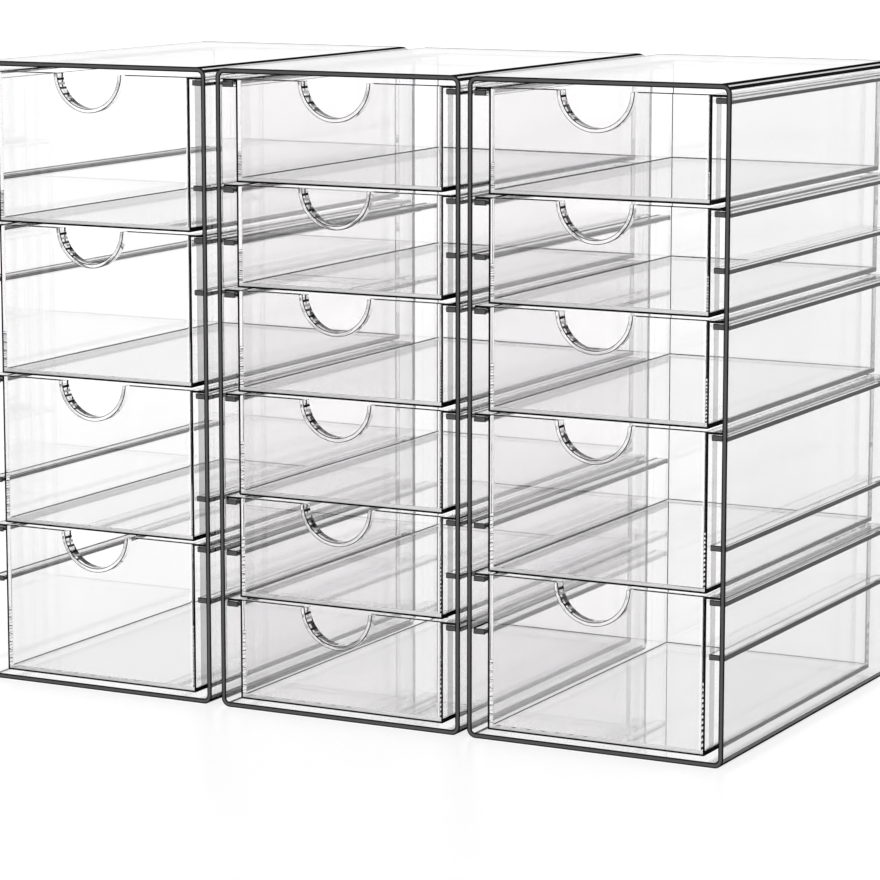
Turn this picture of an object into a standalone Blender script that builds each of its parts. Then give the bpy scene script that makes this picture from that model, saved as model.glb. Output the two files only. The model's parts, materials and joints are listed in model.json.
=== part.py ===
"""Three clear drawer towers that stand side by side.

Each tower is a one-piece moulded housing, open at the front, with rails along both side walls.
Its drawers hang on the rails by the flanges at their top edges, and slide out to the front.
A half-round finger notch with a raised collar is moulded into the top edge of each drawer front.
"""

from math import pi, radians

import bmesh
import bpy
from mathutils import Matrix, Vector

# Housing: over-all sizes, the wall, and the radius inside its rounded edges
HOUSING_WIDTH = 0.118
HOUSING_DEPTH = 0.190
HOUSING_HEIGHT = 0.280
HOUSING_WALL = 0.0023
HOUSING_INNER_RADIUS = 0.0017
HOUSING_RADIUS_STEPS = 4

# Gaps between the middle tower and the towers on its left and right
LEFT_TOWER_GAP = 0.0051
RIGHT_TOWER_GAP = 0.0033

# Rails: how far they stand out of the side walls, and how far they start behind the rim
RAIL_REACH = 0.0054
RAIL_THICKNESS = 0.0024
RAIL_SETBACK = 0.0018

# Drawers: the wall, the radii of the edges outside and inside, and the flanges that ride on the rails
DRAWER_WALL = 0.002
DRAWER_OUTER_RADIUS = 0.0005
DRAWER_OUTER_STEPS = 2
DRAWER_INNER_RADIUS = 0.002
DRAWER_INNER_STEPS = 4
DRAWER_SETBACK = 0.0014
FLANGE_THICKNESS = 0.001
ROUND_PROFILE_SHARE = 0.5

# Finger notch: its radius, how far its centre lies above the drawer's top edge, and its collar
NOTCH_RADIUS = 0.0157
NOTCH_RISE = 0.0005
NOTCH_STEPS = 36
COLLAR_THICKNESS = 0.0018
COLLAR_REACH = 0.0032

# Clearances around a drawer
CEILING_GAP = 0.0022
FLOOR_GAP = 0.0018
STACK_GAP = 0.001
BACK_GAP = 0.0016
RAIL_END_GAP = 0.00135
FLANGE_END_GAP = 0.0005
FLANGE_SEAT_GAP = 0.0003

# How far shapes that are joined reach into each other, and cutters past what they cut
OVERRUN = 0.0008

# Heights in drawer pitches: where the rails are, from the top one down, and each tower's drawers
RAIL_LEVEL_SHARES = (0, 1, 1.5, 2, 3, 4, 4.5, 5)
LEFT_DRAWER_SHARES = (1.5, 1.5, 1.5, 1.5)
MIDDLE_DRAWER_SHARES = (1, 1, 1, 1, 1, 1)
RIGHT_DRAWER_SHARES = (1, 1, 1, 1.5, 1.5)
TOWER_HEIGHT_SHARE = 6

QUARTER_TURN = pi / 2
SHARP_ANGLE = radians(40)

PLASTIC_COLOUR = (0.90, 0.89, 0.90, 1.0)
PLASTIC_ROUGHNESS = 0.03
PLASTIC_METALLIC = 0.0
PLASTIC_REFRACTION = 1.49

# Worked out for the housing
INNER_HALF_WIDTH = HOUSING_WIDTH / 2 - HOUSING_WALL
INNER_DEPTH = HOUSING_DEPTH - HOUSING_WALL
RAIL_LENGTH = INNER_DEPTH - RAIL_SETBACK

# Worked out for the drawers
COLLAR_PROUD = max(COLLAR_REACH - DRAWER_SETBACK, 0)
DRAWER_HALF_WIDTH = INNER_HALF_WIDTH - RAIL_REACH - RAIL_END_GAP
DRAWER_DEPTH = INNER_DEPTH - DRAWER_SETBACK - BACK_GAP
FLANGE_HALF_WIDTH = INNER_HALF_WIDTH - FLANGE_END_GAP
TOP_FLANGE = HOUSING_HEIGHT - HOUSING_WALL - CEILING_GAP
LOWEST_DRAWER = HOUSING_WALL + FLOOR_GAP
PITCH = (TOP_FLANGE - LOWEST_DRAWER + STACK_GAP) / TOWER_HEIGHT_SHARE

# The whole set is centred on the origin, with the collars that stand out of the front
RIM_Y = (COLLAR_PROUD - HOUSING_DEPTH) / 2
MIDDLE_X = (LEFT_TOWER_GAP - RIGHT_TOWER_GAP) / 2
LEFT_X = MIDDLE_X - LEFT_TOWER_GAP - HOUSING_WIDTH
RIGHT_X = MIDDLE_X + RIGHT_TOWER_GAP + HOUSING_WIDTH


def clear_scene():
    """Removes whatever the open file holds."""
    for thing in list(bpy.data.objects):
        bpy.data.objects.remove(thing, do_unlink=True)


def new_collection(name):
    """Adds a collection to the scene."""
    collection = bpy.data.collections.new(name)
    bpy.context.scene.collection.children.link(collection)
    return collection


def add_box(bm, low, high):
    """Adds a box between two corners to a mesh in the making."""
    low, high = Vector(low), Vector(high)
    stretch = Matrix.Diagonal(high - low).to_4x4()
    bmesh.ops.create_cube(bm, size=1, matrix=Matrix.Translation((low + high) / 2) @ stretch)


def add_disc(bm, radius, front, back, height):
    """Adds a round bar that lies along Y, with its middle on the centre plane."""
    place = Matrix.Translation((0, (front + back) / 2, height)) @ Matrix.Rotation(QUARTER_TURN, 4, "X")
    bmesh.ops.create_cone(bm, cap_ends=True, segments=NOTCH_STEPS, radius1=radius, radius2=radius,
                          depth=back - front, matrix=place)


def new_object(name, bm, collection):
    """Turns a mesh in the making into an object."""
    mesh = bpy.data.meshes.new(name)
    bmesh.ops.recalc_face_normals(bm, faces=bm.faces)
    bm.to_mesh(mesh)
    bm.free()
    thing = bpy.data.objects.new(name, mesh)
    collection.objects.link(thing)
    return thing


def open_box(name, low, high, open_side, collection):
    """Makes a box that lacks the face on one side."""
    bm = bmesh.new()
    add_box(bm, low, high)
    bm.normal_update()
    facing = Vector(open_side)
    lid = max(bm.faces, key=lambda face: face.normal.dot(facing))
    bmesh.ops.delete(bm, geom=[lid], context="FACES_ONLY")
    return new_object(name, bm, collection)


def rounded_box(name, low, high, radius, steps, collection):
    """Makes a box with every edge rounded, apart from the four at its top."""
    bm = bmesh.new()
    add_box(bm, low, high)
    top = max(vert.co.z for vert in bm.verts)
    edges = [edge for edge in bm.edges if min(vert.co.z for vert in edge.verts) < top]
    bmesh.ops.bevel(bm, geom=edges, offset=radius, offset_type="OFFSET", segments=steps,
                    profile=ROUND_PROFILE_SHARE, affect="EDGES")
    return new_object(name, bm, collection)


def make_shell(thing, radius, steps, wall):
    """Rounds a box's closed edges and gives it a wall, inwards."""
    rounding = thing.modifiers.new("rounded edges", "BEVEL")
    rounding.limit_method = "NONE"
    rounding.offset_type = "OFFSET"
    rounding.width = radius
    rounding.segments = steps
    rounding.use_clamp_overlap = False
    shell = thing.modifiers.new("wall", "SOLIDIFY")
    shell.thickness = wall
    shell.offset = -1
    shell.use_even_offset = True


def add_boolean(thing, cutter, operation):
    """Joins a helper shape to an object, or cuts it away."""
    cutter.hide_render = True
    cutter.display_type = "WIRE"
    boolean = thing.modifiers.new(cutter.name, "BOOLEAN")
    boolean.solver = "EXACT"
    boolean.operation = operation
    boolean.object = cutter


def finished_mesh(thing, name):
    """Returns an object's mesh with its modifiers carried out, and removes the object."""
    bpy.context.view_layer.update()
    evaluated = thing.evaluated_get(bpy.context.evaluated_depsgraph_get())
    mesh = bpy.data.meshes.new_from_object(evaluated)
    mesh.name = name
    mesh.shade_smooth()
    mesh.set_sharp_from_angle(angle=SHARP_ANGLE)
    bpy.data.objects.remove(thing, do_unlink=True)
    return mesh


def rail_top(level):
    """Returns the height of a rail's upper face."""
    return TOP_FLANGE - level * PITCH - FLANGE_THICKNESS - FLANGE_SEAT_GAP


def housing_mesh(parts, cutters):
    """Makes the housing: the rounded box and its rails, with the rim's lower edge middle at the origin."""
    half = HOUSING_WIDTH / 2
    housing = open_box("housing", (-half, 0, 0), (half, HOUSING_DEPTH, HOUSING_HEIGHT), (0, -1, 0), parts)
    make_shell(housing, HOUSING_INNER_RADIUS + HOUSING_WALL, HOUSING_RADIUS_STEPS, HOUSING_WALL)

    bm = bmesh.new()
    for level in RAIL_LEVEL_SHARES:
        top = rail_top(level)
        for side in (-1, 1):
            ends = sorted((side * (INNER_HALF_WIDTH - RAIL_REACH), side * (INNER_HALF_WIDTH + OVERRUN)))
            add_box(bm, (ends[0], RAIL_SETBACK, top - RAIL_THICKNESS),
                    (ends[1], RAIL_SETBACK + RAIL_LENGTH + OVERRUN, top))
    rails = new_object("rails", bm, cutters)
    add_boolean(housing, rails, "UNION")
    return finished_mesh(housing, "housing")


def drawer_mesh(height_share, parts, cutters):
    """Makes a drawer: its origin is the middle of the front, level with the flanges' lower faces."""
    name = "drawer_" + str(height_share)
    top = FLANGE_THICKNESS
    bottom = top - (height_share * PITCH - STACK_GAP)
    drawer = rounded_box(name, (-DRAWER_HALF_WIDTH, 0, bottom), (DRAWER_HALF_WIDTH, DRAWER_DEPTH, top),
                         DRAWER_OUTER_RADIUS, DRAWER_OUTER_STEPS, parts)
    hollow = rounded_box("hollow of " + name,
                         (DRAWER_WALL - DRAWER_HALF_WIDTH, DRAWER_WALL, bottom + DRAWER_WALL),
                         (DRAWER_HALF_WIDTH - DRAWER_WALL, DRAWER_DEPTH - DRAWER_WALL, top + OVERRUN),
                         DRAWER_INNER_RADIUS, DRAWER_INNER_STEPS, cutters)
    add_boolean(drawer, hollow, "DIFFERENCE")

    bm = bmesh.new()
    for side in (-1, 1):
        ends = sorted((side * (DRAWER_HALF_WIDTH - DRAWER_WALL / 2), side * FLANGE_HALF_WIDTH))
        add_box(bm, (ends[0], 0, 0), (ends[1], DRAWER_DEPTH, top))
    flanges = new_object("flanges of " + name, bm, cutters)
    add_boolean(drawer, flanges, "UNION")

    bm = bmesh.new()
    add_disc(bm, NOTCH_RADIUS + COLLAR_THICKNESS, -COLLAR_REACH, DRAWER_WALL / 2, top + NOTCH_RISE)
    cut = bmesh.ops.bisect_plane(bm, geom=bm.verts[:] + bm.edges[:] + bm.faces[:], plane_co=(0, 0, top),
                                 plane_no=(0, 0, 1), clear_outer=True)["geom_cut"]
    bmesh.ops.contextual_create(bm, geom=[edge for edge in cut if isinstance(edge, bmesh.types.BMEdge)])
    collar = new_object("collar of " + name, bm, cutters)
    add_boolean(drawer, collar, "UNION")

    bm = bmesh.new()
    add_disc(bm, NOTCH_RADIUS, -COLLAR_REACH - OVERRUN, DRAWER_WALL + OVERRUN, top + NOTCH_RISE)
    notch = new_object("notch of " + name, bm, cutters)
    add_boolean(drawer, notch, "DIFFERENCE")
    return finished_mesh(drawer, name)


def clear_plastic(name):
    """Makes the clear, glossy plastic of one piece."""
    material = bpy.data.materials.new(name + "_plastic")
    material.use_nodes = True
    shader = material.node_tree.nodes["Principled BSDF"]
    shader.inputs["Base Color"].default_value = PLASTIC_COLOUR
    shader.inputs["Roughness"].default_value = PLASTIC_ROUGHNESS
    shader.inputs["Metallic"].default_value = PLASTIC_METALLIC
    shader.inputs["IOR"].default_value = PLASTIC_REFRACTION
    shader.inputs["Transmission Weight"].default_value = 1.0
    return material


def place_piece(name, mesh, location, collection, parent=None):
    """Adds one finished piece, with its own plastic, where it stands."""
    piece = bpy.data.objects.new(name, mesh)
    collection.objects.link(piece)
    piece.parent = parent
    piece.location = location
    if not mesh.materials:
        mesh.materials.append(None)
    piece.material_slots[0].link = "OBJECT"
    piece.material_slots[0].material = clear_plastic(name)
    return piece


def build_towers():
    """Stands the towers in a row, and hangs each one's drawers on its rails from the top down."""
    parts = new_collection("clear_drawer_towers")
    cutters = new_collection("cutters")
    housing = housing_mesh(parts, cutters)
    heights = sorted({*LEFT_DRAWER_SHARES, *MIDDLE_DRAWER_SHARES, *RIGHT_DRAWER_SHARES})
    drawers = {height: drawer_mesh(height, parts, cutters) for height in heights}
    for side, place, stack in (("left", LEFT_X, LEFT_DRAWER_SHARES),
                               ("middle", MIDDLE_X, MIDDLE_DRAWER_SHARES),
                               ("right", RIGHT_X, RIGHT_DRAWER_SHARES)):
        tower = place_piece("housing_" + side, housing, (place, RIM_Y, 0), parts)
        level = 0
        for number, height in enumerate(stack, start=1):
            seat = rail_top(level) + FLANGE_SEAT_GAP
            name = "drawer_{}_{}".format(side, number)
            place_piece(name, drawers[height], (0, DRAWER_SETBACK, seat), parts, parent=tower)
            level += height


clear_scene()
build_towers()
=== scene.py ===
"""Three clear drawer towers, side by side on a white table, seen from the front right and a little above."""

import json
from math import cos, pi, radians, sin

import bmesh
import bpy
from mathutils import Euler, Matrix, Vector


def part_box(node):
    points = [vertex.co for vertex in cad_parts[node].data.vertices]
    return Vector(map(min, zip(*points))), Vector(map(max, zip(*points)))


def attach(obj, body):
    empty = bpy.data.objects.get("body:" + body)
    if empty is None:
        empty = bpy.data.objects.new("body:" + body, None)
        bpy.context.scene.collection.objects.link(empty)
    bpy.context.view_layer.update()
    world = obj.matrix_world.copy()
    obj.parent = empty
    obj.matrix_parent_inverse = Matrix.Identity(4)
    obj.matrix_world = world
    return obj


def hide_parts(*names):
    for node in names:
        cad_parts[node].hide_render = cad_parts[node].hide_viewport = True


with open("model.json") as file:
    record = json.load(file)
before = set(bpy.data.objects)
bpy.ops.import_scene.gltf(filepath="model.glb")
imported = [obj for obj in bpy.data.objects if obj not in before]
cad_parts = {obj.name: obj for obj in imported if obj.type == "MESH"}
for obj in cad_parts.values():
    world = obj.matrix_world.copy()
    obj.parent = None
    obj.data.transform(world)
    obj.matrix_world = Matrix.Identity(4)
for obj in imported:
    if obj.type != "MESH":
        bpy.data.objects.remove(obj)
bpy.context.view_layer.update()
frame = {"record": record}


# The clear styrene of both kinds of moulding, colourless and glossy, with flow lines, smears and scratches.
# Light is caught where a wall is seen end on, so rims look grey and softened edges nearly black; that light
# and shade is painted on.
# Each face has a grey: below zero it is frosted, then clear with a darker tint of painted shade, and from
# the film's full grey on it has a matt painted film, from white for a painted highlight to black for painted
# shade.
# Darker tints of painted shade on the drawers' fronts, the housings' right sides and a strip of the drawers'
# right sides; the strip's grey is part way to the film, so it is partly a pale matt painted film.
FROSTED, CLEAR, FRONT_PAINTED_SHADE, SIDE_PAINTED_SHADE, STRIP_PAINTED_SHADE = -0.5, 0.0, 0.15, 0.22, 0.565
# Greys of the matt painted film: pale for a painted highlight, then grey on the rims and near black on lines
# and softened edges, for painted shade.
PALE_PAINTED_HIGHLIGHT, RIM_PAINTED_SHADE, LINE_PAINTED_SHADE, EDGE_PAINTED_SHADE = 0.62, 0.924, 0.984, 0.994
STYRENE_REFRACTION = 1.49
STYRENE_TINT = (1.0, 0.997, 0.999, 1.0)
STYRENE_DEPTH_COLOUR = (0.05, 0.0, 0.04, 1.0)
PAINTED_FILM_FROM, PAINTED_FILM_FULL = 0.55, 0.6
PAINTED_FILM_GAIN = 2.5
PAINTED_FILM_ROUGHNESS = 0.6
OWN_REACH = 60
SMEAR_SHIFT, SCRATCH_SHIFT = 7, 3
STREAK_DETAIL, SMEAR_DETAIL, SCRATCH_DETAIL, WAVE_DETAIL = 3, 4, 2, 1
STREAK_STRETCH, STREAK_RANGE, STREAK_DEPTH = (26, 26, 3.5), (0.42, 0.72), 0.012
SMEAR_SCALE, SMEAR_RANGE, SMEAR_ROUGHNESS, SMEAR_ON_PAINTED_FILM = 21, (0.5, 0.75), 0.006, 0.2
SCRATCH_STRETCH, SCRATCH_MIDDLE, SCRATCH_HALF, SCRATCH_ROUGHNESS = (90, 90, 700), 0.5, 0.006, 0.15
WAVE_SCALE, WAVE_STRENGTH, WAVE_DISTANCE = 38, 0.03, 0.0002


class Flow:
    """One socket of a node tree, for sums written in plain Python."""

    def __init__(self, tree, socket=None):
        self.tree = tree
        self.socket = socket

    def node(self, kind, settings=None, sockets=None, output=0):
        """Adds a node: its settings first, then the values or links of its sockets."""
        made = self.tree.nodes.new("ShaderNode" + kind)
        for name, value in (settings or {}).items():
            setattr(made, name, value)
        for name, value in (sockets or {}).items():
            if isinstance(value, Flow):
                self.tree.links.new(value.socket, made.inputs[name])
            else:
                made.inputs[name].default_value = value
        return Flow(self.tree, made.outputs[output] if made.outputs else None)

    def maths(self, operation, *values):
        """Adds a Math node to values that vary."""
        return self.node("Math", {"operation": operation}, dict(enumerate(values)))

    def __add__(self, other):
        return self.maths("ADD", self, other)

    def __sub__(self, other):
        return self.maths("SUBTRACT", self, other)

    def __rsub__(self, other):
        return self.maths("SUBTRACT", other, self)

    def __mul__(self, other):
        return self.maths("MULTIPLY", self, other)

    __radd__ = __add__
    __rmul__ = __mul__

    def stretched(self, scale):
        """Stretches a place, so that a pattern there runs along one way."""
        return self.node("VectorMath", {"operation": "MULTIPLY"}, {0: self, 1: scale})

    def noise(self, scale, detail, own):
        """Samples a noise that is a piece's own."""
        return self.node("TexNoise", {"noise_dimensions": "4D"},
                         {"Vector": self, "W": own, "Scale": scale, "Detail": detail})

    def tinted(self, brightness):
        """Returns the plastic's colour at a brightness from zero to one."""
        return self.node("Mix", {"data_type": "RGBA"},
                         {0: brightness, 6: (0, 0, 0, 1), 7: STYRENE_TINT}, output=2)

    def between(self, low, high, start=0.0, end=1.0):
        """Moves smoothly from start to end while the value goes from low to high."""
        return self.node("MapRange", {"interpolation_type": "SMOOTHSTEP"},
                         {"Value": self, "From Min": low, "From Max": high, "To Min": start, "To Max": end})


def clear_styrene(name, dimming, lightness):
    """Makes the clear styrene of one kind of moulding, with the light and shade that each face's grey paints
    on.
    """
    styrene = bpy.data.materials.new(name)
    styrene.use_nodes = True
    styrene.node_tree.nodes.clear()
    flow = Flow(styrene.node_tree)
    place = flow.node("TexCoord", output="Object")
    own = flow.node("ObjectInfo", output="Random") * OWN_REACH
    grey = flow.node("Attribute", {"attribute_name": "grey"}, output="Fac")
    # The painted shade of each face, which darkens the clear body; frosted faces have none.
    painted_shade = flow.maths("MAXIMUM", grey, 0)

    streaks = place.stretched(STREAK_STRETCH).noise(1, STREAK_DETAIL, own).between(*STREAK_RANGE)
    smears = place.noise(SMEAR_SCALE, SMEAR_DETAIL, own + SMEAR_SHIFT).between(*SMEAR_RANGE)
    lines = place.stretched(SCRATCH_STRETCH).noise(1, SCRATCH_DETAIL, own + SCRATCH_SHIFT)
    rising = lines.between(SCRATCH_MIDDLE - SCRATCH_HALF, SCRATCH_MIDDLE)
    falling = lines.between(SCRATCH_MIDDLE, SCRATCH_MIDDLE + SCRATCH_HALF, 1, 0)
    roughness = smears * SMEAR_ROUGHNESS + rising * falling * smears * SCRATCH_ROUGHNESS
    waves = flow.node("Bump", {}, {
        "Height": place.noise(WAVE_SCALE, WAVE_DETAIL, own),
        "Strength": WAVE_STRENGTH, "Distance": WAVE_DISTANCE})
    # The clear body, darkened by its face's painted shade, and rougher where the grey is below zero, for
    # frosting.
    body = flow.node("BsdfPrincipled", {}, {
        "Base Color": flow.tinted((lightness - streaks * STREAK_DEPTH) * (1 - painted_shade)),
        "Roughness": roughness + (painted_shade - grey), "Normal": waves,
        "IOR": STYRENE_REFRACTION, "Transmission Weight": 1.0})
    # The matt painted film that takes over at high greys: pale for a painted highlight, grey to black for
    # painted shade.
    painted_film = flow.node("BsdfPrincipled", {}, {
        "Base Color": flow.tinted((1 - grey) * PAINTED_FILM_GAIN),
        "Roughness": smears * SMEAR_ON_PAINTED_FILM + PAINTED_FILM_ROUGHNESS, "Specular IOR Level": 0.0})
    surface = flow.node("MixShader", {}, {0: grey.between(PAINTED_FILM_FROM, PAINTED_FILM_FULL), 1: body, 2: painted_film})
    inside = flow.node("VolumeAbsorption", {}, {"Color": STYRENE_DEPTH_COLOUR, "Density": dimming})
    flow.node("OutputMaterial", {}, {"Surface": surface, "Volume": inside})
    return styrene


# The housings: three boxes, each open at the front and moulded in one piece, with eight pairs of rails
# along the insides of the side walls. The rim and the rails' ends have the small radii of the mould.
# Their softened edges, the rim and the rails carry painted shade, and the right edges one step of painted
# highlight.
HOUSING_WALL = 0.0023
HOUSING_RADIUS = 0.004
HOUSING_STEPS = 8
# The softened edge's radius, and the widths of the rim's dark line and of the bands that carry painted
# shade.
HOUSING_EDGE = 0.0003
HOUSING_RIM_LINE = 0.0003
HOUSING_BAND = 0.0006
# Greys for the steps round the rounded edges, right and left: painted shade, and on the right one step of
# pale film as a painted highlight.
HOUSING_RIGHT_EDGE = (EDGE_PAINTED_SHADE, EDGE_PAINTED_SHADE, EDGE_PAINTED_SHADE, PALE_PAINTED_HIGHLIGHT, EDGE_PAINTED_SHADE, EDGE_PAINTED_SHADE, CLEAR, CLEAR)
HOUSING_LEFT_EDGE = (EDGE_PAINTED_SHADE, EDGE_PAINTED_SHADE, CLEAR, CLEAR, CLEAR, CLEAR, CLEAR, CLEAR)
HOUSING_BACK_STEPS = 6
HOUSING_BACK_BAND = 0.0018
HOUSING_TOP_BAND = 0.0028
EDGE_STEPS = 3
RAIL_REACH = 0.0054
RAIL_THICKNESS = 0.0024
RAIL_SETBACK = 0.0018
RAIL_EDGE = 0.0003
# Bands of painted shade up the rails' sides, each a height and a grey; the rails' front ends are painted
# grey like the rim.
RAIL_RIGHT_BANDS = ((0.0009, LINE_PAINTED_SHADE), (0.0012, EDGE_PAINTED_SHADE))
RAIL_LEFT_BANDS = ((0.0005, CLEAR), (0.0009, EDGE_PAINTED_SHADE), (0.0016, RIM_PAINTED_SHADE), (0.002, EDGE_PAINTED_SHADE))
RAIL_ROOT = 0.0012
RAIL_FILLET = 0.00025
RAIL_LEVELS = (0, 1, 1.5, 2, 3, 4, 4.5, 5)
FLANGE_THICKNESS = 0.001
FLANGE_SEAT_GAP = 0.0003
HOUSING_DIMMING = 1.0
HOUSING_LIGHTNESS = 0.997
BAR_EDGE_STEPS = 2
ROUND_PROFILE = 0.5
SIDEWAYS, FRONTWARD = 0.9, 0.99
SHARP_ANGLE = radians(40)
MERGE_REACH, SLIVER_REACH = 1e-7, 1e-8
WELD_REACH = 0.000001
FLAT_SHADING_WEIGHT = 100

first_top, second_top = (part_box("drawer_middle_" + number)[1].z for number in "12")
pitch = first_top - second_top
housing_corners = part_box("housing_middle")
housing_size = housing_corners[1] - housing_corners[0]


def quarter(steps):
    """Returns the sine and cosine at even steps through a quarter turn."""
    return [(sin(pi / 2 * step / steps), cos(pi / 2 * step / steps)) for step in range(steps + 1)]


def outline(half_width, half_depth, radius, steps, end_bands=(), side_bands=()):
    """Returns a rectangle with rounded corners, and places at bands' widths from each corner."""
    places = []
    for turn, (side, end) in enumerate(((1, 1), (-1, 1), (-1, -1), (1, -1))):
        corner = []
        for step in range(steps + 1):
            angle = pi / 2 * (turn + step / steps)
            corner.append((side * (half_width - radius) + radius * cos(angle),
                           end * (half_depth - radius) + radius * sin(angle)))
        ends = [(side * (half_width - radius - band), end * half_depth) for band in end_bands]
        sides = [(side * half_width, end * (half_depth - radius - band)) for band in side_bands]
        before, after = (sides, ends) if side == end else (ends, sides)
        places += [*reversed(before), *corner, *after]
    return places


def greys_of(bm):
    """Returns the layer of a mesh in the making that holds its faces' greys."""
    return bm.faces.layers.float.get("grey") or bm.faces.layers.float.new("grey")


def loft(bm, rings, greys):
    """Joins outlines to a closed skin. Each strip has one grey, or a list with one for each face."""
    layer = greys_of(bm)
    loops = [[bm.verts.new(place) for place in ring] for ring in rings]
    for near, far, grey in zip(loops, loops[1:], greys):
        for here in range(len(near)):
            there = (here + 1) % len(near)
            face = bm.faces.new((near[here], near[there], far[there], far[here]))
            face[layer] = grey[here] if isinstance(grey, list) else grey
    bm.faces.new(loops[0])
    bm.faces.new(loops[-1])
    bmesh.ops.remove_doubles(bm, verts=bm.verts, dist=MERGE_REACH)
    bmesh.ops.dissolve_degenerate(bm, edges=bm.edges, dist=SLIVER_REACH)


def add_bar(bm, low, high, radius, bands=(), end_grey=CLEAR):
    """Adds a bar with softened edges painted dark as shade, bands of painted grey up the foot of its sides,
    and a painted grey front end.
    """
    layer = greys_of(bm)
    low, high = Vector(low), Vector(high)
    place = Matrix.Translation((low + high) / 2) @ Matrix.Diagonal(high - low).to_4x4()
    made = bmesh.ops.create_cube(bm, size=1, matrix=place)
    edges = list(dict.fromkeys(edge for vert in made["verts"] for edge in vert.link_edges))
    softened = bmesh.ops.bevel(bm, geom=edges, offset=radius, offset_type="OFFSET",
                               segments=BAR_EDGE_STEPS, profile=ROUND_PROFILE, affect="EDGES")
    faces = list(dict.fromkeys(face for vert in softened["verts"] for face in vert.link_faces))
    for face in softened["faces"]:
        face[layer] = EDGE_PAINTED_SHADE
    foot = low.z
    for height, grey in bands:
        faces = [face for face in faces if face.is_valid]
        around = list(dict.fromkeys(item for face in faces for item in (face, *face.edges, *face.verts)))
        cut = bmesh.ops.bisect_plane(bm, geom=around, plane_co=(0, 0, low.z + height),
                                     plane_no=(0, 0, 1))
        faces = [item for item in cut["geom"] if isinstance(item, bmesh.types.BMFace)]
        bm.normal_update()
        for face in faces:
            if foot < face.calc_center_median().z < low.z + height and abs(face.normal.x) > SIDEWAYS:
                face[layer] = grey
        foot = low.z + height
    bm.normal_update()
    for face in faces:
        if face.normal.y < -FRONTWARD:
            face[layer] = end_grey


def mould_object(name, bm):
    """Turns a mesh in the making into an object."""
    bmesh.ops.recalc_face_normals(bm, faces=bm.faces)
    mesh = bpy.data.meshes.new(name)
    bm.to_mesh(mesh)
    bm.free()
    thing = bpy.data.objects.new(name, mesh)
    bpy.context.scene.collection.objects.link(thing)
    return thing


def shape(thing, steps, material):
    """Joins helper shapes to an object or cuts them away, and returns the finished, welded mesh."""
    for helper, operation in steps:
        boolean = thing.modifiers.new(helper.name, "BOOLEAN")
        boolean.solver = "EXACT"
        boolean.operation = operation
        boolean.object = helper
    bpy.context.view_layer.update()
    mesh = bpy.data.meshes.new_from_object(thing.evaluated_get(bpy.context.evaluated_depsgraph_get()))
    mesh.name = thing.name
    bm = bmesh.new()
    bm.from_mesh(mesh)
    bmesh.ops.remove_doubles(bm, verts=bm.verts, dist=WELD_REACH)
    bmesh.ops.dissolve_degenerate(bm, edges=bm.edges, dist=WELD_REACH)
    bm.to_mesh(mesh)
    bm.free()
    for spent in (thing, *(helper for helper, _ in steps)):
        bpy.data.objects.remove(spent, do_unlink=True)
    mesh.materials.clear()
    mesh.materials.append(material)
    mesh.shade_smooth()
    mesh.set_sharp_from_angle(angle=SHARP_ANGLE)
    return mesh


def put(node, mesh, place, body):
    """Puts a finished piece where the plain solid stands."""
    piece = bpy.data.objects.new("clear_" + node, mesh)
    bpy.context.scene.collection.objects.link(piece)
    piece.location = place
    shading = piece.modifiers.new("flat faces", "WEIGHTED_NORMAL")
    shading.keep_sharp = True
    shading.weight = FLAT_SHADING_WEIGHT
    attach(piece, body)
    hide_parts(node)


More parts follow.
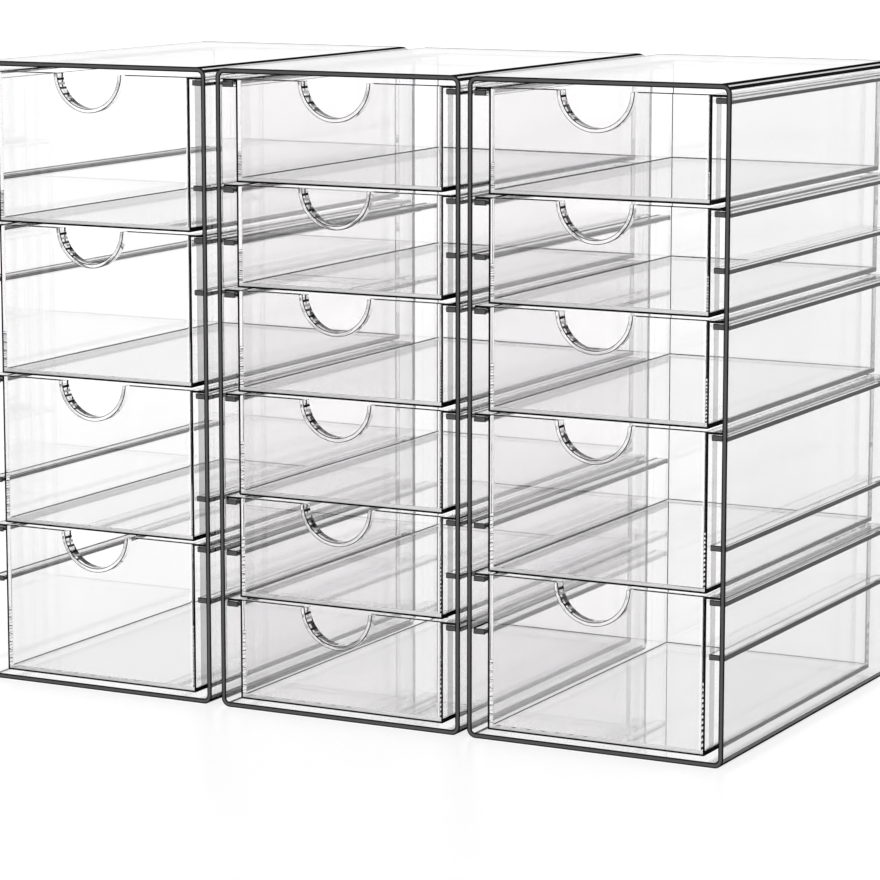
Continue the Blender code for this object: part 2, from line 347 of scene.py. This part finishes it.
def housing_mesh():
    """Makes a housing: a skin from the outside of the back over the rim to the inside, and its rails."""
    inner_radius = HOUSING_RADIUS - HOUSING_WALL
    width, depth, height = housing_size
    right, left = list(HOUSING_RIGHT_EDGE), list(HOUSING_LEFT_EDGE)
    # Greys round the outer skin: painted shade on the rounded edges and their bands, a pale step of painted
    # highlight on the right, and a darker tint of painted shade over the whole right side.
    long_edges = [*reversed(right), EDGE_PAINTED_SHADE, CLEAR, EDGE_PAINTED_SHADE, *left, CLEAR,
                  *reversed(left), EDGE_PAINTED_SHADE, CLEAR, EDGE_PAINTED_SHADE, *right, SIDE_PAINTED_SHADE]
    top_face = HOUSING_STEPS + 1
    # Near the back the right side is painted dark and the top carries a dark line, both painted shade.
    right_edge = [CLEAR] * (len(long_edges) - 1) + [EDGE_PAINTED_SHADE]
    back_top = [*long_edges[:top_face], LINE_PAINTED_SHADE, *long_edges[top_face + 1:]]
    path = []
    for step, (rise, run) in enumerate(quarter(HOUSING_STEPS)):
        path.append((HOUSING_RADIUS * (1 - rise), depth - HOUSING_RADIUS * (1 - run),
                     right_edge if step >= HOUSING_BACK_STEPS else CLEAR))
    path[-1] = (*path[-1][:2], [*back_top[:-1], EDGE_PAINTED_SHADE])
    path.append((0, depth - HOUSING_RADIUS - HOUSING_BACK_BAND, back_top))
    path.append((0, depth - HOUSING_RADIUS - HOUSING_TOP_BAND, long_edges))
    # The rim: its softened edges painted dark, a dark line beside each, and a grey across its face, all
    # painted shade.
    for rise, run in quarter(EDGE_STEPS):
        path.append((HOUSING_EDGE * (1 - run), HOUSING_EDGE * (1 - rise), EDGE_PAINTED_SHADE))
    path[-1] = (*path[-1][:2], LINE_PAINTED_SHADE)
    path.append((HOUSING_EDGE + HOUSING_RIM_LINE, 0, RIM_PAINTED_SHADE))
    path.append((HOUSING_WALL - HOUSING_EDGE - HOUSING_RIM_LINE, 0, LINE_PAINTED_SHADE))
    for rise, run in quarter(EDGE_STEPS):
        path.append((HOUSING_WALL - HOUSING_EDGE * (1 - rise), HOUSING_EDGE * (1 - run), EDGE_PAINTED_SHADE))
    path[-1] = (*path[-1][:2], CLEAR)
    for rise, run in quarter(HOUSING_STEPS):
        path.append((HOUSING_WALL + inner_radius * (1 - run),
                     depth - HOUSING_WALL - inner_radius * (1 - rise), CLEAR))
    rings = []
    for inset, y, _ in path:
        radius = HOUSING_RADIUS - inset if inset < HOUSING_WALL else inner_radius - (inset - HOUSING_WALL)
        rings.append([(x, y, height / 2 + z) for x, z in
                      outline(width / 2 - inset, height / 2 - inset, max(radius, 0), HOUSING_STEPS,
                              [HOUSING_BAND])])
    bm = bmesh.new()
    loft(bm, rings, [grey for *_, grey in path[:-1]])
    skin = mould_object("clear_housing", bm)

    rails, fillets = bmesh.new(), bmesh.new()
    inner = width / 2 - HOUSING_WALL
    back = depth - HOUSING_WALL + RAIL_ROOT
    for level in RAIL_LEVELS:
        top = first_top - level * pitch - FLANGE_THICKNESS - FLANGE_SEAT_GAP
        for side, bands in ((-1, RAIL_LEFT_BANDS if level else ()), (1, RAIL_RIGHT_BANDS)):
            ends = sorted((side * (inner - RAIL_REACH), side * (inner + RAIL_ROOT)))
            add_bar(rails, (ends[0], RAIL_SETBACK, top - RAIL_THICKNESS), (ends[1], back, top),
                    RAIL_EDGE, bands, RIM_PAINTED_SHADE)
            ends = sorted((side * (inner - RAIL_FILLET), side * (inner + RAIL_ROOT / 2)))
            add_bar(fillets, (ends[0], RAIL_SETBACK + RAIL_EDGE, top - RAIL_EDGE),
                    (ends[1], back - RAIL_ROOT / 2, top + RAIL_FILLET), RAIL_FILLET / 5)
    # The fillets at the rails' roots are painted dark all over, as painted shade.
    for face in fillets.faces:
        face[greys_of(fillets)] = EDGE_PAINTED_SHADE
    helpers = [(mould_object("rails", rails), "UNION"), (mould_object("fillets", fillets), "UNION")]
    styrene = clear_styrene("housing_styrene", HOUSING_DIMMING, HOUSING_LIGHTNESS)
    return shape(skin, helpers, styrene)


clear_housing = housing_mesh()
for side in ("left", "middle", "right"):
    low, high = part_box("housing_" + side)
    put("housing_" + side, clear_housing, ((low.x + high.x) / 2, low.y, low.z), "root")


# The drawers: open trays in two heights that hang on the rails by the thin flanges at their top edges.
# Their corners are sharp, outside and inside, with painted shade on the softened edges, where light is
# caught.
# Each front has a half-round finger notch with a raised collar round it, moulded in one with the tray.
DRAWER_WALL = 0.002
DRAWER_OUTER_RADIUS = 0.0006
DRAWER_INNER_RADIUS = 0.0003
DRAWER_FLOOR_RADIUS = 0.0003
DRAWER_CORNER_STEPS = 6
DRAWER_FLOOR_STEPS = 4
DRAWER_EDGE = 0.0004
# Heights and widths of the bands that carry painted shade near the drawer's foot and its corners.
DRAWER_LINE = 0.0009
DRAWER_FOOT = 0.0021
DRAWER_END_BANDS = (0.00055, 0.0019)
DRAWER_SIDE_BANDS = (0.0014, 0.0041, 0.0093)
FLANGE_REACH = 0.00625
FLANGE_EDGE = 0.00025
NOTCH_RADIUS = 0.0157
NOTCH_RISE = 0.0005
NOTCH_STEPS = 96
COLLAR_THICKNESS = 0.0018
COLLAR_REACH = 0.0032
COLLAR_EDGE = 0.0003
COLLAR_ROOT = 0.001
CUT_OVERRUN = 0.0008
# Where round the notch, and in which greys, dashes of painted light and shade are laid on its face.
NOTCH_LIGHT_AND_SHADE_TURNS = (0.52, 0.66)
NOTCH_LIGHT_AND_SHADE_GREYS = (0.3, 0.985, 0.12, 0.6, 0.0, 0.94, 0.2)
DRAWER_DIMMING = 0.6
DRAWER_LIGHTNESS = 0.997


def turn(bm, profile, height):
    """Turns a profile of radii, depths and greys round the notch's axis to a closed skin."""
    layer = greys_of(bm)
    loops = []
    for radius, y, _ in profile:
        count = NOTCH_STEPS if radius else 1
        angles = [2 * pi * (step + 0.5) / NOTCH_STEPS for step in range(count)]
        loops.append([bm.verts.new((radius * cos(angle), y, height + radius * sin(angle)))
                      for angle in angles])
    for near, far, (*_, grey) in zip(loops, loops[1:], profile):
        for here in range(NOTCH_STEPS):
            there = (here + 1) % NOTCH_STEPS
            if len(near) == 1:
                face = bm.faces.new((near[0], far[there], far[here]))
            elif len(far) == 1:
                face = bm.faces.new((near[here], near[there], far[0]))
            else:
                face = bm.faces.new((near[here], near[there], far[there], far[here]))
            face[layer] = grey[here] if isinstance(grey, list) else grey


def drawer_mesh(name, styrene):
    """Makes a drawer from its plain solid's box: the tray, its flanges, and the collar and the notch."""
    low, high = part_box(name)
    half_width = (high.x - low.x) / 2 - FLANGE_REACH
    depth = high.y - low.y - COLLAR_REACH
    height = high.z - low.z
    # Greys round each ring of the tray: painted shade on softened edges and corner bands, along the foot of
    # the right side and the front and round part of the floor's inner edge, frosted faces low on the front,
    # and darker tints of painted shade on the front and on a strip of the right side.
    soft = [EDGE_PAINTED_SHADE] * DRAWER_CORNER_STEPS
    clean = [CLEAR] * DRAWER_CORNER_STEPS
    plain = [CLEAR] * len(DRAWER_SIDE_BANDS)
    dark = [EDGE_PAINTED_SHADE] * len(DRAWER_SIDE_BANDS)
    back = [*soft, EDGE_PAINTED_SHADE, CLEAR, CLEAR, CLEAR, CLEAR, *clean]
    left = [*plain, CLEAR, *plain]
    front = [*soft, EDGE_PAINTED_SHADE, CLEAR, FRONT_PAINTED_SHADE, CLEAR, CLEAR, *soft]
    upright_edges = [*plain, *back, *left, *front, *plain[:-1], STRIP_PAINTED_SHADE, CLEAR]
    foot = [*dark, *back, *left, *soft, EDGE_PAINTED_SHADE, *[FROSTED] * 4, *soft, *dark, EDGE_PAINTED_SHADE]
    low_foot = [*dark, *[CLEAR] * (len(back) + len(left)), *[EDGE_PAINTED_SHADE] * len(front), *dark, EDGE_PAINTED_SHADE]
    inside = [*plain, *soft, EDGE_PAINTED_SHADE, CLEAR, CLEAR, CLEAR, CLEAR, *soft]
    inside += [CLEAR] * (len(foot) - len(inside))
    floor_line = [*plain, *[EDGE_PAINTED_SHADE] * (len(back) + len(left))]
    floor_line += [CLEAR] * (len(foot) - len(floor_line))
    path = []
    for rise, run in quarter(EDGE_STEPS):
        path.append((DRAWER_EDGE * (1 - rise), DRAWER_EDGE * (1 - run),
                     DRAWER_OUTER_RADIUS - DRAWER_EDGE * (1 - rise), low_foot))
    path.append((0, DRAWER_LINE, DRAWER_OUTER_RADIUS, foot))
    path.append((0, DRAWER_FOOT, DRAWER_OUTER_RADIUS, upright_edges))
    # The softened top edges, outside and inside, painted dark as shade.
    for rise, run in quarter(EDGE_STEPS):
        path.append((DRAWER_EDGE * (1 - run), height - DRAWER_EDGE * (1 - rise),
                     DRAWER_OUTER_RADIUS - DRAWER_EDGE * (1 - run), EDGE_PAINTED_SHADE))
    path[-1] = (*path[-1][:3], CLEAR)
    for rise, run in quarter(EDGE_STEPS):
        path.append((DRAWER_WALL - DRAWER_EDGE * (1 - rise), height - DRAWER_EDGE * (1 - run),
                     DRAWER_INNER_RADIUS + DRAWER_EDGE * (1 - rise), EDGE_PAINTED_SHADE))
    path[-1] = (*path[-1][:3], inside)
    for rise, run in quarter(DRAWER_FLOOR_STEPS):
        path.append((DRAWER_WALL + DRAWER_FLOOR_RADIUS * (1 - run),
                     DRAWER_WALL + DRAWER_FLOOR_RADIUS * (1 - rise),
                     DRAWER_INNER_RADIUS - DRAWER_FLOOR_RADIUS * (1 - run), floor_line))
    rings = [[(x, depth / 2 + y, z) for x, y in
              outline(half_width - inset, depth / 2 - inset, max(radius, 0), DRAWER_CORNER_STEPS,
                      DRAWER_END_BANDS, DRAWER_SIDE_BANDS)]
             for inset, z, radius, _ in path]
    bm = bmesh.new()
    loft(bm, rings, [grey for *_, grey in path[:-1]])
    tray = mould_object("clear_" + name, bm)

    bm = bmesh.new()
    # The flanges, whose softened edges and front ends are painted dark as shade.
    for side in (-1, 1):
        ends = sorted((side * (half_width - DRAWER_WALL / 2), side * (half_width + FLANGE_REACH)))
        add_bar(bm, (ends[0], 0, height - FLANGE_THICKNESS), (ends[1], depth, height), FLANGE_EDGE,
                (), EDGE_PAINTED_SHADE)
    flanges = mould_object("flanges", bm)

    middle = height + NOTCH_RISE
    collar_radius = NOTCH_RADIUS + COLLAR_THICKNESS
    bm = bmesh.new()
    # The collar, with its softened front edge painted dark as shade.
    turn(bm, [(0, COLLAR_ROOT, CLEAR), (collar_radius, COLLAR_ROOT, CLEAR),
              *((collar_radius - COLLAR_EDGE * (1 - run), COLLAR_EDGE * (1 - rise) - COLLAR_REACH, EDGE_PAINTED_SHADE)
                for rise, run in quarter(EDGE_STEPS)[:-1]),
              (collar_radius - COLLAR_EDGE, -COLLAR_REACH, CLEAR), (0, -COLLAR_REACH, CLEAR)], middle)
    everything = bm.verts[:] + bm.edges[:] + bm.faces[:]
    cut = bmesh.ops.bisect_plane(bm, geom=everything, plane_co=(0, 0, height), plane_no=(0, 0, 1),
                                 clear_outer=True)["geom_cut"]
    bmesh.ops.contextual_create(bm, geom=[edge for edge in cut if isinstance(edge, bmesh.types.BMEdge)])
    collar = mould_object("collar", bm)

    # Dark and pale dashes of painted light and shade on the lower left of the notch's face; the notch's
    # softened front edge is painted dark as shade.
    notch_light_and_shade = [CLEAR] * NOTCH_STEPS
    for step in range(*(int(share * NOTCH_STEPS) for share in NOTCH_LIGHT_AND_SHADE_TURNS)):
        notch_light_and_shade[step] = NOTCH_LIGHT_AND_SHADE_GREYS[step % len(NOTCH_LIGHT_AND_SHADE_GREYS)]
    bm = bmesh.new()
    turn(bm, [(0, -COLLAR_REACH - CUT_OVERRUN, CLEAR),
              (NOTCH_RADIUS + COLLAR_EDGE, -COLLAR_REACH - CUT_OVERRUN, CLEAR),
              *((NOTCH_RADIUS + COLLAR_EDGE * (1 - rise), COLLAR_EDGE * (1 - run) - COLLAR_REACH, EDGE_PAINTED_SHADE)
                for rise, run in quarter(EDGE_STEPS)[:-1]),
              (NOTCH_RADIUS, COLLAR_EDGE - COLLAR_REACH, notch_light_and_shade),
              (NOTCH_RADIUS, DRAWER_WALL + CUT_OVERRUN, CLEAR),
              (0, DRAWER_WALL + CUT_OVERRUN, CLEAR)], middle)
    notch = mould_object("notch", bm)
    return shape(tray, [(flanges, "UNION"), (collar, "UNION"), (notch, "DIFFERENCE")], styrene)


drawer_styrene = clear_styrene("drawer_styrene", DRAWER_DIMMING, DRAWER_LIGHTNESS)
clear_drawers = {}
for body, nodes in frame["record"]["behaviour"]["bodies"].items():
    for node in nodes:
        if not node.startswith("drawer"):
            continue
        low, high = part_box(node)
        height = round(high.z - low.z, 4)
        if height not in clear_drawers:
            clear_drawers[height] = drawer_mesh(node, drawer_styrene)
        place = ((low.x + high.x) / 2, low.y + COLLAR_REACH, low.z)
        put(node, clear_drawers[height], place, body)


# The studio: a white table top that runs far out, and even white light from all round, a little weaker
# from straight above. The camera looks from the front right and from a little above the towers' tops.
FLOOR_REACH = 30.0
FLOOR_DROP = 0.0002
FLOOR_SHADE = 0.2
FLOOR_SEEN = 1.03
FLOOR_IN_GLOSS = 0.4
FLOOR_ROUGHNESS = 0.35
FLOOR_SHEEN = 0.3
SKY_TURNS = (0.35, 0.7)
SKY_TOP = 0.6
CAMERA_PLACE = (0.73675, -1.40537, 0.36941)
CAMERA_LENS = 145.882
CAMERA_DOWN = radians(9.3057)
CAMERA_LEFT = radians(27.6274)
CAMERA_CLIP = (0.1, 100)
LIGHT_BOUNCES = 64

scene = bpy.context.scene
scene.view_settings.view_transform = "Standard"
for bounces in ("max_bounces", "transmission_bounces", "transparent_max_bounces", "glossy_bounces"):
    setattr(scene.cycles, bounces, LIGHT_BOUNCES)


def seen_directly(flow):
    """Is one for the camera and through the styrene, less in its gloss, and zero for the light."""
    camera_ray = flow.node("LightPath", output="Is Camera Ray")
    gloss_ray = flow.node("LightPath", output="Is Glossy Ray")
    through_ray = flow.node("LightPath", output="Is Transmission Ray")
    return flow.maths("MAXIMUM", camera_ray, flow.maths("MAXIMUM", gloss_ray * FLOOR_IN_GLOSS, through_ray))


table_mesh = bpy.data.meshes.new("table_top")
corners = [(x * FLOOR_REACH, y * FLOOR_REACH, -FLOOR_DROP) for x, y in ((-1, -1), (1, -1), (1, 1), (-1, 1))]
table_mesh.from_pydata(corners, [], [(0, 1, 2, 3)])
table_top = bpy.data.objects.new("table_top", table_mesh)
scene.collection.objects.link(table_top)
white = bpy.data.materials.new("white_table")
white.use_nodes = True
white.node_tree.nodes.clear()
flow = Flow(white.node_tree)
surface = flow.node("BsdfPrincipled", {}, {
    "Base Color": (FLOOR_SHADE, FLOOR_SHADE, FLOOR_SHADE, 1), "Roughness": FLOOR_ROUGHNESS,
    "Specular IOR Level": FLOOR_SHEEN, "Emission Color": (1, 1, 1, 1),
    "Emission Strength": seen_directly(flow) * (FLOOR_SEEN - FLOOR_SHADE)})
flow.node("OutputMaterial", {}, {"Surface": surface})
table_mesh.materials.append(white)

world = bpy.data.worlds.new("studio")
scene.world = world
world.use_nodes = True
world.node_tree.nodes.clear()
flow = Flow(world.node_tree)
up = flow.node("SeparateXYZ", {}, {0: flow.node("TexCoord", output="Generated")}, output="Z")
camera_ray = flow.node("LightPath", output="Is Camera Ray")
strength = flow.maths("MAXIMUM", camera_ray, up.between(*SKY_TURNS, 1, SKY_TOP))
light = flow.node("Background", {}, {"Color": (1, 1, 1, 1), "Strength": strength})
flow.node("OutputWorld", {}, {"Surface": light})

camera_data = bpy.data.cameras.new("camera")
camera_data.lens = CAMERA_LENS
camera_data.clip_start, camera_data.clip_end = CAMERA_CLIP
camera = bpy.data.objects.new("camera", camera_data)
scene.collection.objects.link(camera)
camera.location = CAMERA_PLACE
camera.rotation_euler = Euler((pi / 2 - CAMERA_DOWN, 0, CAMERA_LEFT), "XYZ")
scene.camera = camera
